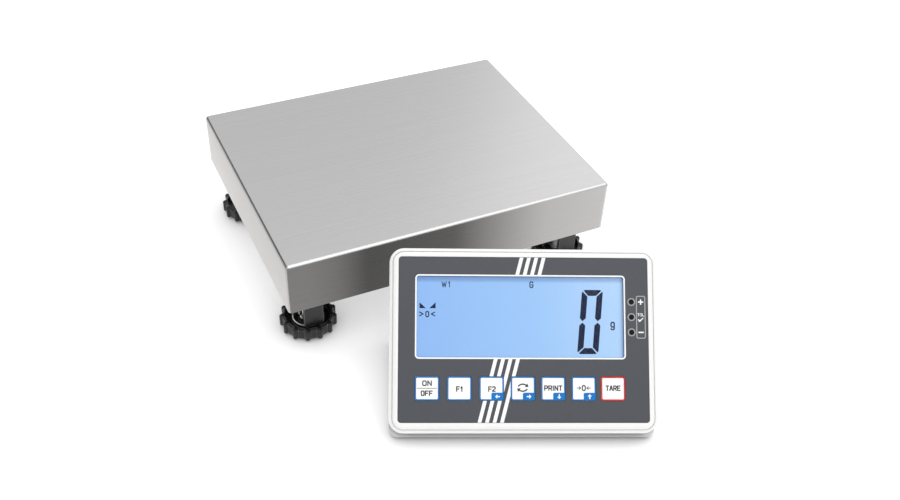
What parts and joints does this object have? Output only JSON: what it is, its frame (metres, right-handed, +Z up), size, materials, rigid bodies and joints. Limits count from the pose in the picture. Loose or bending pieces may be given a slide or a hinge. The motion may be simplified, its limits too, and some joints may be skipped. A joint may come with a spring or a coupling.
{
  "type": "bench scale",
  "caption": "Bench scale: a skirted steel weighing pan on a load-cell frame with screw-adjusted feet, beside a separate sloped desk terminal with a lit display and a row of keys.",
  "frame": {"origin": "on the floor, under the centre of the whole set's box", "axes": "+X to the right, +Y from the terminal to the platform, +Z up"},
  "size_m": [0.3, 0.4416, 0.114],
  "materials": {
    "brushed_stainless": "fine straight grain",
    "black_steel": "satin powder coat",
    "black_plastic": "fine texture",
    "knob_plastic": "semi-gloss",
    "zinc_steel": "bright zinc",
    "machined_aluminium": "milled",
    "vial_fluid": "clear, yellow-green fluid",
    "grey_plastic": "fine texture",
    "black_rubber": "matt",
    "white_housing": "fine spark texture",
    "foil_grey": "satin printed film",
    "clear_window": "clear film",
    "dark_lens": "smoked",
    "lcd_glass": "polariser",
    "backlight": "lit diffuser",
    "board_green": "solder mask",
    "battery_sleeve": "shrink sleeve",
    "key_white": "satin film"
  },
  "bodies": {
    "base": {"base_beam": "black_steel", "base_rail_left": "black_steel", "base_rail_right": "black_steel", "base_rail_caps": "black_plastic", "foot_brackets": "black_steel", "foot_nuts": "zinc_steel", "lower_spacer": "machined_aluminium", "load_cell": "machined_aluminium", "load_cell_lower_screws": "zinc_steel", "stop_screws": "zinc_steel", "stop_nuts": "zinc_steel", "level_cup": "black_plastic", "level_vial": "vial_fluid", "gland_bracket": "black_steel", "platform_gland": "grey_plastic"},
    "bridge": {"upper_spacer": "machined_aluminium", "bridge_beam": "black_steel", "bridge_rail_left": "black_steel", "bridge_rail_right": "black_steel", "bridge_rail_caps": "black_plastic", "load_cell_upper_screws": "zinc_steel", "pan_pads": "black_rubber"},
    "pan": {"pan": "brushed_stainless"},
    "terminal": {"front_shell": "white_housing", "rear_shell": "white_housing", "keypad_foil": "foil_grey", "display_window": "clear_window", "status_lenses": "dark_lens", "lcd_glass": "lcd_glass", "lcd_backlight": "backlight", "main_board": "board_green", "key_board": "board_green", "key_domes": "zinc_steel", "battery_pack": "battery_sleeve", "battery_door": "white_housing", "battery_door_screws": "zinc_steel", "housing_screws": "zinc_steel", "terminal_feet": "black_rubber", "terminal_gland": "grey_plastic", "power_socket": "black_plastic", "data_port": "zinc_steel"},
    "sole_front_left": {"foot_sole_front_left": "black_rubber"},
    "knob_front_left": {"foot_knob_front_left": "knob_plastic", "foot_stud_front_left": "zinc_steel"},
    "sole_front_right": {"foot_sole_front_right": "black_rubber"},
    "knob_front_right": {"foot_knob_front_right": "knob_plastic", "foot_stud_front_right": "zinc_steel"},
    "sole_rear_left": {"foot_sole_rear_left": "black_rubber"},
    "knob_rear_left": {"foot_knob_rear_left": "knob_plastic", "foot_stud_rear_left": "zinc_steel"},
    "sole_rear_right": {"foot_sole_rear_right": "black_rubber"},
    "knob_rear_right": {"foot_knob_rear_right": "knob_plastic", "foot_stud_rear_right": "zinc_steel"},
    "key_power": {"key_power": "key_white"},
    "key_function_1": {"key_function_1": "key_white"},
    "key_function_2": {"key_function_2": "key_white"},
    "key_switch": {"key_switch": "key_white"},
    "key_print": {"key_print": "key_white"},
    "key_zero": {"key_zero": "key_white"},
    "key_tare": {"key_tare": "key_white"}
  },
  "joints": [
    {"name": "bridge_load", "type": "slide", "parent": "base", "child": "bridge", "axis": [0, 0, 1], "range_m": [-0.0005, 0], "stiffness_N_per_m": 300000, "springref_m": 0.00015, "deforming": ["load_cell"]},
    {"name": "pan_lift", "type": "slide", "parent": "bridge", "child": "pan", "axis": [0, 0, 1], "range_m": [0, 0.06]},
    {"name": "terminal_lift", "type": "slide", "parent": "base", "child": "terminal", "axis": [0, 0, 1], "range_m": [0, 0.12]},
    {"name": "foot_height_front_left", "type": "slide", "parent": "base", "child": "sole_front_left", "axis": [0, 0, -1], "range_m": [0, 0.01]},
    {"name": "foot_turn_front_left", "type": "hinge", "parent": "sole_front_left", "child": "knob_front_left", "pos_m": [-0.1245, 0.01276, 0.01], "axis": [0, 0, -1], "range_deg": [0, 2400]},
    {"name": "foot_height_front_right", "type": "slide", "parent": "base", "child": "sole_front_right", "axis": [0, 0, -1], "range_m": [0, 0.01]},
    {"name": "foot_turn_front_right", "type": "hinge", "parent": "sole_front_right", "child": "knob_front_right", "pos_m": [0.1245, 0.01276, 0.01], "axis": [0, 0, -1], "range_deg": [0, 2400]},
    {"name": "foot_height_rear_left", "type": "slide", "parent": "base", "child": "sole_rear_left", "axis": [0, 0, -1], "range_m": [0, 0.01]},
    {"name": "foot_turn_rear_left", "type": "hinge", "parent": "sole_rear_left", "child": "knob_rear_left", "pos_m": [-0.1245, 0.18876, 0.01], "axis": [0, 0, -1], "range_deg": [0, 2400]},
    {"name": "foot_height_rear_right", "type": "slide", "parent": "base", "child": "sole_rear_right", "axis": [0, 0, -1], "range_m": [0, 0.01]},
    {"name": "foot_turn_rear_right", "type": "hinge", "parent": "sole_rear_right", "child": "knob_rear_right", "pos_m": [0.1245, 0.18876, 0.01], "axis": [0, 0, -1], "range_deg": [0, 2400]},
    {"name": "press_power", "type": "slide", "parent": "terminal", "child": "key_power", "axis": [0.2748, 0.638, -0.7193], "range_m": [0, 0.0005], "stiffness_N_per_m": 4000},
    {"name": "press_function_1", "type": "slide", "parent": "terminal", "child": "key_function_1", "axis": [0.2748, 0.638, -0.7193], "range_m": [0, 0.0005], "stiffness_N_per_m": 4000},
    {"name": "press_function_2", "type": "slide", "parent": "terminal", "child": "key_function_2", "axis": [0.2748, 0.638, -0.7193], "range_m": [0, 0.0005], "stiffness_N_per_m": 4000},
    {"name": "press_switch", "type": "slide", "parent": "terminal", "child": "key_switch", "axis": [0.2748, 0.638, -0.7193], "range_m": [0, 0.0005], "stiffness_N_per_m": 4000},
    {"name": "press_print", "type": "slide", "parent": "terminal", "child": "key_print", "axis": [0.2748, 0.638, -0.7193], "range_m": [0, 0.0005], "stiffness_N_per_m": 4000},
    {"name": "press_zero", "type": "slide", "parent": "terminal", "child": "key_zero", "axis": [0.2748, 0.638, -0.7193], "range_m": [0, 0.0005], "stiffness_N_per_m": 4000},
    {"name": "press_tare", "type": "slide", "parent": "terminal", "child": "key_tare", "axis": [0.2748, 0.638, -0.7193], "range_m": [0, 0.0005], "stiffness_N_per_m": 4000}
  ],
  "couplings": [
    {"joint": "foot_height_front_left", "follows": "foot_turn_front_left", "m_per_rad": 0.00023873},
    {"joint": "foot_height_front_right", "follows": "foot_turn_front_right", "m_per_rad": 0.00023873},
    {"joint": "foot_height_rear_left", "follows": "foot_turn_rear_left", "m_per_rad": 0.00023873},
    {"joint": "foot_height_rear_right", "follows": "foot_turn_rear_right", "m_per_rad": 0.00023873}
  ]
}
